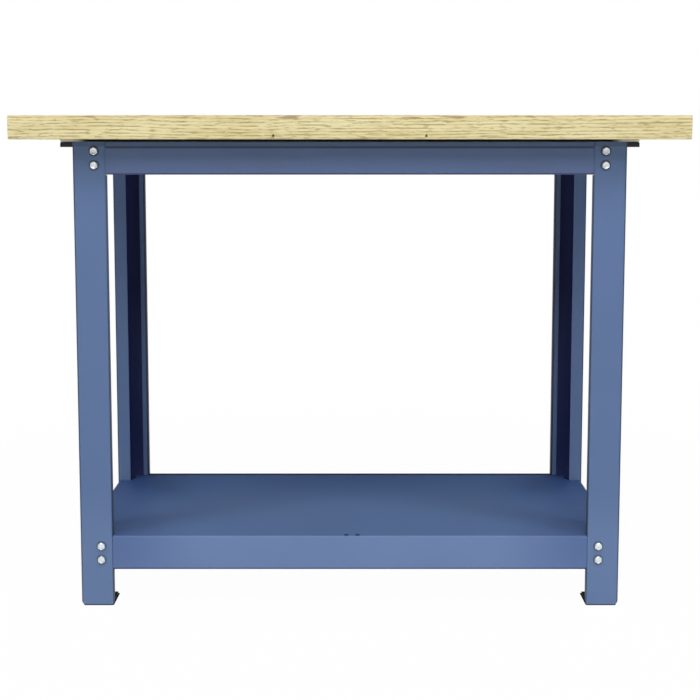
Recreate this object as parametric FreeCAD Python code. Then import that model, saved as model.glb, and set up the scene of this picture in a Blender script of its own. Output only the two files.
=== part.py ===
"""Assembly table: bolted sheet-steel frame, wooden worktop and lower shelf tray.

Frame: origin on the floor under the middle of the table, +X to the right,
+Y to the back, +Z up. All sizes are in millimetres.
"""
import FreeCAD, Part
import math
import os

V = FreeCAD.Vector

# ---------------------------------------------------------------- driving sizes
# Worktop
TOP_LENGTH = 1200.0
TOP_DEPTH = 700.0
TOP_THICK = 42.0
TOP_ARRIS = 1.5
EDGE_HOLE_DIA = 4.5
EDGE_HOLE_DEPTH = 12.0
EDGE_HOLE_SPACING = 268.5
EDGE_HOLE_RISE = 6.4

# Frame outline
TOP_OVERHANG_SIDE = 102.5
TOP_OVERHANG_FRONT = 62.5
LEG_HEIGHT = 854.0

# Sheet steel
SHEET = 2.0
BEND_INNER = 2.0
FIT_GAP = 0.3

# Leg section, outside sizes of each fold
LEG_FACE = 59.5
LEG_SIDE = 78.0
LEG_LIP = 26.5
LEG_RETURN = 21.0
LEG_HEM = 12.0
LEG_MITRE = 22.5
LEG_CLIP_X = 5.0
LEG_CLIP_Z = 8.0
NOTCH_GAP = 1.0

# Top rails, front and rear
RAIL_HEIGHT = 59.0
RAIL_OVERLAP = 31.5
RAIL_TOP_FLANGE = 30.0
RAIL_FOOT_FLANGE = 20.0
LAP_HEIGHT = 8.5
LAP_ROUNDING = 1.5

# Side rails
SIDE_RAIL_OVERLAP = 40.0

# Bearers that carry the worktop at each end
BEARER_REACH = 35.5
BEARER_INNER = 51.0
BEARER_LIP = 10.0
BEARER_END_GAP = 2.0

# Packing between the frame and the worktop
PACKING_THICK = 4.0
PACKING_SIDE_WIDTH = 23.0

# Shelf tray
SHELF_TOP = 132.0
SHELF_LIP = 64.5
SHELF_RETURN = 12.0
SHELF_CORNER_IN = 28.5
SHELF_TAB_DROP = 5.0
SHELF_HOLE_DIA = 6.5
SHELF_HOLE_PITCH = 20.7
SHELF_HOLE_SHIFT = 3.7
SHELF_HOLE_FROM_FACE = 8.5

# Channel under the shelf
STIFFENER_WIDTH = 40.0
STIFFENER_HEIGHT = 25.0

# Foot plates
FOOT_SOLE = 1.5
FOOT_THICK = 5.0
FOOT_WALL = 3.0
FOOT_WALL_HEIGHT = 18.0
ANCHOR_HOLE_DIA = 11.0

# M8 frame bolts
BOLT_DIA = 8.0
BOLT_HOLE_DIA = 9.0
BOLT_LENGTH = 16.0
HEX_ACROSS_FLATS = 13.0
BOLT_HEAD_HEIGHT = 5.3
NUT_HEIGHT = 6.8
THREAD_GAP = 0.1
BOLT_FROM_EDGE = 38.5
BOLT_PITCH = 25.4
SIDE_BOLT_FROM_FRONT = 51.0

# M6 bearer bolts
M6_DIA = 6.0
M6_HOLE_DIA = 6.6
M6_LENGTH = 12.0
M6_HEAD_DIA = 10.5
M6_HEAD_HEIGHT = 3.3
M6_ACROSS_FLATS = 10.0
M6_NUT_HEIGHT = 5.0
M6_SPACING = 300.0
M6_FROM_RAIL_FACE = 15.0

# Worktop screws
SCREW_DIA = 4.8
SCREW_HOLE_DIA = 5.0
SCREW_HEAD_DIA = 9.6
SCREW_HEAD_HEIGHT = 2.6
SCREW_BITE = 22.0
SCREW_SPACING_X = 320.0
SCREW_SPACING_Y = 220.0
SCREW_FROM_FLANGE_TIP = 14.0

# ---------------------------------------------------------------- derived places
HALF_X = TOP_LENGTH / 2 - TOP_OVERHANG_SIDE
HALF_Y = TOP_DEPTH / 2 - TOP_OVERHANG_FRONT
BEND_OUTER = BEND_INNER + SHEET
RAIL_END_X = HALF_X - LEG_FACE + RAIL_OVERLAP
RAIL_FACE_Y = HALF_Y - SHEET
RAIL_BOTTOM = LEG_HEIGHT - RAIL_HEIGHT
LAP_HALF = HALF_X - LEG_FACE - FIT_GAP
SIDE_FACE_X = HALF_X - SHEET
SIDE_RAIL_TOP = LEG_HEIGHT - SHEET
SIDE_RAIL_END_Y = HALF_Y - LEG_SIDE + SIDE_RAIL_OVERLAP
LEG_LIP_Y = HALF_Y - LEG_SIDE
BEARER_END_Y = LEG_LIP_Y - BEARER_END_GAP
WOOD_BOTTOM = LEG_HEIGHT + PACKING_THICK
SHELF_BOTTOM = SHELF_TOP - SHELF_LIP
SHELF_SIDE_END_Y = LEG_LIP_Y - FIT_GAP
SHELF_CORNER_X = HALF_X - LEG_LIP - FIT_GAP
SHELF_TAB_TOP = SHELF_TOP - SHELF_TAB_DROP
BOLT_X = HALF_X - BOLT_FROM_EDGE
SIDE_BOLT_Y = HALF_Y - SIDE_BOLT_FROM_FRONT
RAIL_BOLT_Z = LEG_HEIGHT - RAIL_HEIGHT / 2
RAIL_BOLT_ROWS = (RAIL_BOLT_Z - BOLT_PITCH / 2, RAIL_BOLT_Z + BOLT_PITCH / 2)
SHELF_BOLT_Z = SHELF_TOP - SHELF_LIP / 2
SHELF_BOLT_ROWS = (SHELF_BOLT_Z - BOLT_PITCH / 2, SHELF_BOLT_Z + BOLT_PITCH / 2)
BEARER_BOLT_X = SIDE_FACE_X - M6_FROM_RAIL_FACE
PACKING_INNER_X = HALF_X - BEARER_INNER
SCREW_SIDE_X = PACKING_INNER_X + PACKING_SIDE_WIDTH / 2
SCREW_FRONT_Y = RAIL_FACE_Y - RAIL_TOP_FLANGE + SCREW_FROM_FLANGE_TIP
SHELF_HOLE_Y = -(RAIL_FACE_Y - SHELF_HOLE_FROM_FACE)
FOOT_CENTRE_X = HALF_X - LEG_FACE / 2
FOOT_CENTRE_Y = HALF_Y - LEG_SIDE / 2


# ---------------------------------------------------------------- helpers
def box(x0, x1, y0, y1, z0, z1):
    """Solid block between two corners, given as ranges."""
    corner = V(min(x0, x1), min(y0, y1), min(z0, z1))
    return Part.makeBox(abs(x1 - x0), abs(y1 - y0), abs(z1 - z0), corner)


def rod(diameter, length, start, direction):
    """Round bar from a start point along a direction."""
    return Part.makeCylinder(diameter / 2, length, start, direction)


def fuse(shapes):
    """Join shapes into one clean solid."""
    joined = shapes[0]
    for shape in shapes[1:]:
        joined = joined.fuse(shape)
    return joined.removeSplitter()


def cut(shape, tools):
    """Take every tool away from a shape."""
    for tool in tools:
        shape = shape.cut(tool)
    return shape.removeSplitter()


def left_normal(direction):
    """Unit vector to the left of a direction in the drawing plane."""
    return V(-direction.y, direction.x, 0)


def fold_side(points, offset):
    """Edges of one side of a folded sheet, with an arc at each bend.

    The sheet's other side lies `offset` to the left of the path.
    """
    directions = [(b - a).normalize() for a, b in zip(points, points[1:])]
    start = points[0] + left_normal(directions[0]) * offset
    end = points[-1] + left_normal(directions[-1]) * offset
    edges = []
    for corner, before, after in zip(points[1:-1], directions, directions[1:]):
        turn = before.x * after.y - before.y * after.x
        spread = 1 + left_normal(before).dot(left_normal(after))
        apex = corner + (left_normal(before) + left_normal(after)) * (offset / spread)
        radius = BEND_OUTER - offset if turn > 0 else BEND_INNER + offset
        half_angle = abs(math.atan2(turn, before.dot(after))) / 2
        reach = radius * math.tan(half_angle)
        first = apex - before * reach
        last = apex + after * reach
        side = 1 if turn > 0 else -1
        centre = first + left_normal(before) * (radius * side)
        middle = centre + (apex - centre).normalize() * radius
        edges.append(Part.LineSegment(start, first).toShape())
        edges.append(Part.Arc(first, middle, last).toShape())
        start = last
    edges.append(Part.LineSegment(start, end).toShape())
    return edges


def folded_face(points):
    """Cross-section of a folded sheet; `points` is its outer surface in plan.

    The sheet's thickness lies to the left of the path.
    """
    points = [V(x, y, 0) for x, y in points]
    outer = fold_side(points, 0.0)
    inner = fold_side(points, SHEET)
    ends = [
        Part.LineSegment(outer[0].valueAt(outer[0].FirstParameter),
                         inner[0].valueAt(inner[0].FirstParameter)).toShape(),
        Part.LineSegment(outer[-1].valueAt(outer[-1].LastParameter),
                         inner[-1].valueAt(inner[-1].LastParameter)).toShape(),
    ]
    return Part.Face(Part.Wire(Part.__sortEdges__(outer + inner + ends)))


def folded_upright(points, height):
    """Folded sheet standing upright: section in plan, run along +Z."""
    return folded_face(points).extrude(V(0, 0, height))


def folded_along_x(points, half_length):
    """Folded sheet whose section is given as (y, z), run along X."""
    face = folded_face(points)
    face.transformShape(FreeCAD.Matrix(0, 0, 1, 0, 1, 0, 0, 0, 0, 1, 0, 0, 0, 0, 0, 1))
    face.translate(V(-half_length, 0, 0))
    return face.extrude(V(2 * half_length, 0, 0))


def folded_along_y(points, half_length):
    """Folded sheet whose section is given as (x, z), run along Y."""
    face = folded_face(points)
    face.rotate(V(0, 0, 0), V(1, 0, 0), 90)
    face.translate(V(0, half_length, 0))
    return face.extrude(V(0, -2 * half_length, 0))


def mirror_x(shape):
    """Copy on the other side, left to right."""
    return shape.mirror(V(0, 0, 0), V(1, 0, 0))


def mirror_y(shape):
    """Copy on the other side, front to back."""
    return shape.mirror(V(0, 0, 0), V(0, 1, 0))


def corners(x, y):
    """The four places that mirror one place in plan."""
    return [(sx * x, sy * y) for sx in (-1, 1) for sy in (-1, 1)]


def hexagon(across_flats, height, base, direction):
    """Hexagonal prism on a base point, standing along a direction."""
    radius = across_flats / math.sqrt(3)
    places = [math.radians(30 + 60 * step) for step in range(7)]
    ring = [V(radius * math.cos(a), radius * math.sin(a), 0) for a in places]
    prism = Part.Face(Part.makePolygon(ring)).extrude(V(0, 0, height))
    prism.Placement = FreeCAD.Placement(base, FreeCAD.Rotation(V(0, 0, 1), direction))
    return prism


# ---------------------------------------------------------------- fasteners
def hex_bolt(seat, direction):
    """M8 bolt: its head stands on `seat` along `direction`, its shank runs back."""
    head = hexagon(HEX_ACROSS_FLATS, BOLT_HEAD_HEIGHT, seat, direction)
    shank = rod(BOLT_DIA, BOLT_LENGTH, seat, direction * -1)
    return fuse([head, shank])


def hex_nut(seat, direction, across_flats, height, bore):
    """Nut whose bearing face lies on `seat`; it stands along `direction`."""
    nut = hexagon(across_flats, height, seat, direction)
    return nut.cut(rod(bore, height, seat, direction))


def m8_nut(seat, direction):
    """Nut of a frame bolt."""
    return hex_nut(seat, direction, HEX_ACROSS_FLATS, NUT_HEIGHT, BOLT_DIA + 2 * THREAD_GAP)


def button_bolt(seat, direction):
    """M6 bolt with a low round head."""
    head = rod(M6_HEAD_DIA, M6_HEAD_HEIGHT, seat, direction)
    shank = rod(M6_DIA, M6_LENGTH, seat, direction * -1)
    return fuse([head, shank])


def face_places(rows):
    """Bolt places on the front and rear leg faces: point and outward direction."""
    return [(V(x, y, z), V(0, math.copysign(1, y), 0)) for x, y in corners(BOLT_X, HALF_Y) for z in rows]


def side_places():
    """Bolt places on the outer sides of the legs: point and outward direction."""
    return [(V(x, y, z), V(math.copysign(1, x), 0, 0))
            for x, y in corners(HALF_X, SIDE_BOLT_Y) for z in RAIL_BOLT_ROWS]


def bolt_holes(places):
    """Clearance holes through every sheet at the given bolt places."""
    return [rod(BOLT_HOLE_DIA, BOLT_LENGTH, seat + out, out * -1) for seat, out in places]


def bolts_at(places):
    """Frame bolts, as one group."""
    return Part.makeCompound([hex_bolt(seat, out) for seat, out in places])


def nuts_at(places):
    """Nuts behind the two sheets that each frame bolt clamps."""
    return Part.makeCompound([m8_nut(seat - out * (2 * SHEET), out * -1) for seat, out in places])


def screw_places():
    """Worktop screw places, at the underside of the flange each one goes through."""
    under = LEG_HEIGHT - SHEET
    places = [V(x, y, under) for x in (-SCREW_SPACING_X, 0, SCREW_SPACING_X)
              for y in (-SCREW_FRONT_Y, SCREW_FRONT_Y)]
    places += [V(x, y, under) for x, y in corners(SCREW_SIDE_X, SCREW_SPACING_Y / 2)]
    return places


def screw_holes():
    """Holes for the worktop screws, through the flanges and into the wood."""
    length = SHEET + PACKING_THICK + SCREW_BITE
    return [rod(SCREW_HOLE_DIA, length, place, V(0, 0, 1)) for place in screw_places()]


def bearer_bolt_places():
    """Bearer bolt places on top of the bearers."""
    return [V(x, y, LEG_HEIGHT) for x, y in corners(BEARER_BOLT_X, M6_SPACING / 2)]


def bearer_bolt_holes():
    """Holes for the bearer bolts."""
    return [rod(M6_HOLE_DIA, M6_LENGTH, place, V(0, 0, -1)) for place in bearer_bolt_places()]


def shelf_front_holes():
    """Pair of small holes behind the shelf's front fold, down through the channel below."""
    middle = SHELF_HOLE_SHIFT
    return [rod(SHELF_HOLE_DIA, 2 * SHEET, V(x, SHELF_HOLE_Y, SHELF_TOP), V(0, 0, -1))
            for x in (middle - SHELF_HOLE_PITCH / 2, middle + SHELF_HOLE_PITCH / 2)]


# ---------------------------------------------------------------- sub-parts
def make_worktop():
    """Solid board with broken edges, two edge holes and screw holes below."""
    board = box(-TOP_LENGTH / 2, TOP_LENGTH / 2, -TOP_DEPTH / 2, TOP_DEPTH / 2,
                WOOD_BOTTOM, WOOD_BOTTOM + TOP_THICK)
    board = board.makeChamfer(TOP_ARRIS, board.Edges)
    holes = [rod(EDGE_HOLE_DIA, EDGE_HOLE_DEPTH,
                 V(x, -TOP_DEPTH / 2, WOOD_BOTTOM + EDGE_HOLE_RISE), V(0, 1, 0))
             for x in (-EDGE_HOLE_SPACING / 2, EDGE_HOLE_SPACING / 2)]
    return cut(board, holes + screw_holes())


def make_leg():
    """Front left leg, folded from one sheet, with its notches and holes."""
    inner_x = -(HALF_X - LEG_FACE)
    back_y = -(HALF_Y - LEG_SIDE)
    return_y = -(HALF_Y - LEG_RETURN)
    section = [(-HALF_X + LEG_LIP, back_y), (-HALF_X, back_y), (-HALF_X, -HALF_Y),
               (inner_x, -HALF_Y), (inner_x, return_y), (inner_x - LEG_HEM, return_y)]
    leg = folded_upright(section, LEG_HEIGHT - FOOT_SOLE)
    leg.translate(V(0, 0, FOOT_SOLE))
    past_hem = inner_x - LEG_HEM - NOTCH_GAP
    rail_notch = box(past_hem, inner_x + NOTCH_GAP, -RAIL_FACE_Y, return_y + NOTCH_GAP,
                     RAIL_BOTTOM - NOTCH_GAP, LEG_HEIGHT)
    shelf_notch = box(past_hem, inner_x + NOTCH_GAP, -RAIL_FACE_Y, return_y + NOTCH_GAP,
                      SHELF_BOTTOM - NOTCH_GAP, SHELF_TAB_TOP + NOTCH_GAP)
    side_notch = box(-SIDE_FACE_X, -HALF_X + LEG_LIP + NOTCH_GAP, back_y - BEND_OUTER,
                     back_y + NOTCH_GAP, RAIL_BOTTOM - NOTCH_GAP, LEG_HEIGHT)
    holes = bolt_holes(face_places(RAIL_BOLT_ROWS + SHELF_BOLT_ROWS) + side_places())
    return cut(leg, [rail_notch, shelf_notch, side_notch, foot_mitre(inner_x, return_y), foot_clip()] + holes)


def foot_mitre(inner_x, return_y):
    """Wedge that mitres the lower end of the return and its hem."""
    profile = [V(0, -HALF_Y + BEND_OUTER, 0), V(0, return_y + NOTCH_GAP, 0),
               V(0, return_y + NOTCH_GAP, LEG_MITRE), V(0, return_y - SHEET, LEG_MITRE),
               V(0, -HALF_Y + BEND_OUTER, 0)]
    wedge = Part.Face(Part.makePolygon(profile)).extrude(V(LEG_HEM + 2 * NOTCH_GAP, 0, 0))
    wedge.translate(V(inner_x - LEG_HEM - NOTCH_GAP, 0, 0))
    return wedge


def foot_clip():
    """Wedge that clips the outer lower corner of a leg."""
    profile = [V(-HALF_X, 0, 0), V(-HALF_X + LEG_CLIP_X, 0, 0), V(-HALF_X, 0, LEG_CLIP_Z), V(-HALF_X, 0, 0)]
    wedge = Part.Face(Part.makePolygon(profile)).extrude(V(0, LEG_SIDE, 0))
    wedge.translate(V(0, -HALF_Y, 0))
    return wedge


def make_foot_plate():
    """Front left foot: a plug inside the leg, on a thin sole that the leg stands on."""
    x0 = -(SIDE_FACE_X - FIT_GAP)
    x1 = -(HALF_X - LEG_FACE + SHEET + FIT_GAP)
    y0 = -(RAIL_FACE_Y - FIT_GAP)
    y1 = -(LEG_LIP_Y + SHEET + FIT_GAP)
    plate = box(x0, x1, y0, y1, 0, FOOT_THICK)
    side_wall = box(x0, x0 + FOOT_WALL, y0, y1, 0, FOOT_WALL_HEIGHT)
    face_wall = box(x0, x1 - LEG_HEM, y0, y0 + FOOT_WALL, 0, FOOT_WALL_HEIGHT)
    anchor = rod(ANCHOR_HOLE_DIA, FOOT_THICK, V(-FOOT_CENTRE_X, -FOOT_CENTRE_Y, 0), V(0, 0, 1))
    plug = fuse([plate, side_wall, face_wall])
    bends = [(x0, y0), (x0, y1), (x1, y0)]
    in_bends = [edge for edge in plug.Edges
                if any(all(math.hypot(v.X - x, v.Y - y) < FIT_GAP for v in edge.Vertexes) for x, y in bends)]
    plug = plug.makeFillet(BEND_INNER, in_bends)
    sole_x = -(HALF_X - LEG_FACE)
    sole = box(-HALF_X, sole_x, -HALF_Y, -LEG_LIP_Y, 0, FOOT_SOLE)
    bends = [(-HALF_X, -HALF_Y), (-HALF_X, -LEG_LIP_Y), (sole_x, -HALF_Y)]
    in_bends = [edge for edge in sole.Edges
                if any(all(math.hypot(v.X - x, v.Y - y) < FIT_GAP for v in edge.Vertexes) for x, y in bends)]
    sole = sole.makeFillet(BEND_OUTER, in_bends)
    return cut(fuse([sole, plug]), [foot_clip(), anchor])


def make_top_rail():
    """Front rail: a channel with a lap along its upper edge, flush with the legs."""
    face = -RAIL_FACE_Y
    section = [(face + RAIL_TOP_FLANGE, LEG_HEIGHT), (face, LEG_HEIGHT),
               (face, RAIL_BOTTOM), (face + RAIL_FOOT_FLANGE, RAIL_BOTTOM)]
    channel = folded_along_x(section, RAIL_END_X)
    lap = box(-LAP_HALF, LAP_HALF, -HALF_Y, face + SHEET, LEG_HEIGHT - LAP_HEIGHT, LEG_HEIGHT)
    upper_edge = [edge for edge in lap.Edges
                  if all(v.Y < face and v.Z > LEG_HEIGHT - FIT_GAP for v in edge.Vertexes)]
    lap = lap.makeFillet(LAP_ROUNDING, upper_edge)
    return cut(fuse([channel, lap]), bolt_holes(face_places(RAIL_BOLT_ROWS)) + screw_holes())


def make_side_rail():
    """Left side rail: a channel between the front and rear legs."""
    face = -SIDE_FACE_X
    section = [(face + RAIL_TOP_FLANGE, SIDE_RAIL_TOP), (face, SIDE_RAIL_TOP),
               (face, RAIL_BOTTOM), (face + RAIL_FOOT_FLANGE, RAIL_BOTTOM)]
    rail = folded_along_y(section, SIDE_RAIL_END_Y)
    return cut(rail, bolt_holes(side_places()) + bearer_bolt_holes())


def make_top_bearer():
    """Left bearer: a plate on the side rail, folded down round its overhang."""
    outer = -(HALF_X + BEARER_REACH)
    section = [(-PACKING_INNER_X, LEG_HEIGHT), (outer, LEG_HEIGHT), (outer, LEG_HEIGHT - BEARER_LIP)]
    plate = folded_along_y(section, BEARER_END_Y)
    tab = box(outer + SHEET, -HALF_X - SHEET, -BEARER_END_Y, -BEARER_END_Y + SHEET,
              LEG_HEIGHT - BEARER_LIP, LEG_HEIGHT - SHEET)
    bearer = fuse([plate, tab, mirror_y(tab)])
    return cut(bearer, bearer_bolt_holes() + screw_holes())


def make_packing_front():
    """Front packing strip, on the top flange of the front rail."""
    strip = box(-RAIL_END_X, RAIL_END_X, -RAIL_FACE_Y, -RAIL_FACE_Y + RAIL_TOP_FLANGE,
                LEG_HEIGHT, WOOD_BOTTOM)
    return cut(strip, screw_holes())


def make_packing_left():
    """Left packing strip, on the inner part of the left bearer."""
    strip = box(-PACKING_INNER_X - PACKING_SIDE_WIDTH, -PACKING_INNER_X,
                -BEARER_END_Y, BEARER_END_Y, LEG_HEIGHT, WOOD_BOTTOM)
    return cut(strip, screw_holes())


def shelf_corner_cut():
    """Prism that takes the shelf's surface away around the right rear leg.

    Its edge slants in from the leg's lip, then steps round the leg's return.
    """
    slope = SHELF_CORNER_IN / (RAIL_FACE_Y - SHELF_SIDE_END_Y)
    step_y = HALF_Y - LEG_RETURN - FIT_GAP
    step_x = SHELF_CORNER_X - slope * (step_y - SHELF_SIDE_END_Y)
    far_y = HALF_Y + NOTCH_GAP
    far_x = HALF_X + NOTCH_GAP
    outline = [V(SHELF_CORNER_X, SHELF_SIDE_END_Y, 0), V(far_x, SHELF_SIDE_END_Y, 0),
               V(far_x, far_y, 0), V(LAP_HALF, far_y, 0), V(LAP_HALF, step_y, 0),
               V(step_x, step_y, 0), V(SHELF_CORNER_X, SHELF_SIDE_END_Y, 0)]
    prism = Part.Face(Part.makePolygon(outline)).extrude(V(0, 0, SHELF_TAB_DROP + NOTCH_GAP))
    prism.translate(V(0, 0, SHELF_TAB_TOP))
    return prism


def make_shelf_tray():
    """Shelf: one sheet with lips folded down and in, its corners cut for the legs."""
    lap = BEND_OUTER + SHEET
    front = [(-RAIL_FACE_Y + lap, SHELF_TOP), (-RAIL_FACE_Y, SHELF_TOP),
             (-RAIL_FACE_Y, SHELF_BOTTOM), (-RAIL_FACE_Y + SHELF_RETURN, SHELF_BOTTOM)]
    side = [(-SIDE_FACE_X + lap, SHELF_TOP), (-SIDE_FACE_X, SHELF_TOP),
            (-SIDE_FACE_X, SHELF_BOTTOM), (-SIDE_FACE_X + SHELF_RETURN, SHELF_BOTTOM)]
    front_lip = folded_along_x(front, RAIL_END_X)
    side_lip = folded_along_y(side, SHELF_SIDE_END_Y)
    plate = box(-SIDE_FACE_X + lap, SIDE_FACE_X - lap, -RAIL_FACE_Y + lap, RAIL_FACE_Y - lap,
                SHELF_TOP - SHEET, SHELF_TOP)
    tray = fuse([plate, front_lip, mirror_y(front_lip), side_lip, mirror_x(side_lip)])
    corner = shelf_corner_cut()
    corner_cuts = [corner, mirror_x(corner), mirror_y(corner), mirror_x(mirror_y(corner))]
    return cut(tray, corner_cuts + bolt_holes(face_places(SHELF_BOLT_ROWS)) + shelf_front_holes())


def make_shelf_stiffener():
    """Channel spot-welded under the middle of the shelf, front to back."""
    half = STIFFENER_WIDTH / 2
    top = SHELF_TOP - SHEET
    section = [(half, top - STIFFENER_HEIGHT), (half, top), (-half, top), (-half, top - STIFFENER_HEIGHT)]
    channel = folded_along_y(section, RAIL_FACE_Y - BEND_OUTER - FIT_GAP)
    return cut(channel, shelf_front_holes())


def make_worktop_screw(place):
    """Pan-head screw from below, through the flange and packing into the board."""
    head = rod(SCREW_HEAD_DIA, SCREW_HEAD_HEIGHT, place, V(0, 0, -1))
    shank = rod(SCREW_DIA, SHEET + PACKING_THICK + SCREW_BITE - FIT_GAP, place, V(0, 0, 1))
    return fuse([head, shank])


# ---------------------------------------------------------------- the table
def four_legs(shape, name):
    """The front left piece and its mirrored copies, by node name."""
    return {
        name + "_front_left": shape,
        name + "_front_right": mirror_x(shape),
        name + "_rear_left": mirror_y(shape),
        name + "_rear_right": mirror_x(mirror_y(shape)),
    }


def bearer_nut_places():
    """Underside of the side rail's top flange, below each bearer bolt."""
    return [place - V(0, 0, 2 * SHEET) for place in bearer_bolt_places()]


def make_table():
    """Every node of the table, by name."""
    rail_places = face_places(RAIL_BOLT_ROWS)
    shelf_places = face_places(SHELF_BOLT_ROWS)
    top_rail = make_top_rail()
    side_rail = make_side_rail()
    bearer = make_top_bearer()
    packing_front = make_packing_front()
    packing_left = make_packing_left()
    down = V(0, 0, -1)
    nodes = {"worktop": make_worktop()}
    nodes.update(four_legs(make_leg(), "leg"))
    nodes.update(four_legs(make_foot_plate(), "foot_plate"))
    nodes["top_rail_front"] = top_rail
    nodes["top_rail_rear"] = mirror_y(top_rail)
    nodes["side_rail_left"] = side_rail
    nodes["side_rail_right"] = mirror_x(side_rail)
    nodes["top_bearer_left"] = bearer
    nodes["top_bearer_right"] = mirror_x(bearer)
    nodes["packing_strip_front"] = packing_front
    nodes["packing_strip_rear"] = mirror_y(packing_front)
    nodes["packing_strip_left"] = packing_left
    nodes["packing_strip_right"] = mirror_x(packing_left)
    nodes["shelf_tray"] = make_shelf_tray()
    nodes["shelf_stiffener"] = make_shelf_stiffener()
    nodes["rail_bolts"] = bolts_at(rail_places)
    nodes["rail_nuts"] = nuts_at(rail_places)
    nodes["side_bolts"] = bolts_at(side_places())
    nodes["side_nuts"] = nuts_at(side_places())
    nodes["shelf_bolts"] = bolts_at(shelf_places)
    nodes["shelf_nuts"] = nuts_at(shelf_places)
    nodes["bearer_bolts"] = Part.makeCompound([button_bolt(p, V(0, 0, 1)) for p in bearer_bolt_places()])
    m6_bore = M6_DIA + 2 * THREAD_GAP
    nodes["bearer_nuts"] = Part.makeCompound(
        [hex_nut(p, down, M6_ACROSS_FLATS, M6_NUT_HEIGHT, m6_bore) for p in bearer_nut_places()])
    nodes["worktop_screws"] = Part.makeCompound([make_worktop_screw(p) for p in screw_places()])
    return nodes


def main():
    """Build the table and write one STEP file per node."""
    os.makedirs("parts", exist_ok=True)
    for name, shape in make_table().items():
        if shape.ShapeType == "Compound" and len(shape.Solids) == 1:
            shape = shape.Solids[0]
        shape.exportStep("parts/" + name + ".step")


main()
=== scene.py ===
"""Looks of a bolted assembly table: wooden top, folded sheet-steel frame and lower shelf.

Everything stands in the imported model's own frame, in metres: +X to the right,
+Y to the back and +Z up, with the floor at zero.
"""

import logging
import math
from collections.abc import Callable, Sequence
from dataclasses import dataclass
from enum import Enum

import bmesh
import bpy
from mathutils import Matrix, Vector


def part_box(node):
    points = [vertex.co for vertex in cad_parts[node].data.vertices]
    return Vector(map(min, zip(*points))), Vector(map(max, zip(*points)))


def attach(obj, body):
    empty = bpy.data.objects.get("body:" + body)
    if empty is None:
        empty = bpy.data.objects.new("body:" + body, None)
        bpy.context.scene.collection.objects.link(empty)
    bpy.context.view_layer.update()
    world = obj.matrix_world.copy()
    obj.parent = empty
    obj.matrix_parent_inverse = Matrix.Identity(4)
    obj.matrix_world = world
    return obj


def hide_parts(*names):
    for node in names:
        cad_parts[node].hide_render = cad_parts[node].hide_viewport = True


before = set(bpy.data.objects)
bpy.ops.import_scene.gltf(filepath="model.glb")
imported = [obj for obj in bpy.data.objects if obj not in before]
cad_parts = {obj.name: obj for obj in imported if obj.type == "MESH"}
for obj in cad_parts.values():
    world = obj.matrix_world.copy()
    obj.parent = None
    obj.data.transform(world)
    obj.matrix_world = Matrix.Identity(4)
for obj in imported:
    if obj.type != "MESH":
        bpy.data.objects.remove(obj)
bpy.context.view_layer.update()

MM = 0.001
STAVES = 16
RIGHT = Vector((1.0, 0.0, 0.0))
BACK = Vector((0.0, 1.0, 0.0))
UP = Vector((0.0, 0.0, 1.0))
DOWN = -UP
HALF_TURN = Matrix.Rotation(math.pi, 3, "X").to_quaternion()
LOG = logging.getLogger("assembly_table")

Colour = tuple[float, float, float]
Triple = tuple[float, float, float]
Stops = Sequence[tuple[float, Colour]]
Socket = bpy.types.NodeSocket
Material = bpy.types.Material
Object = bpy.types.Object


class Slot(Enum):
    """Names of the material slots of new pieces; put takes them but does not use them."""

    WOOD = "solid_wood"
    PLASTIC = "black_plastic"
    RUBBER = "black_rubber"
    ZINC = "zinc_plated_steel"


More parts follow.
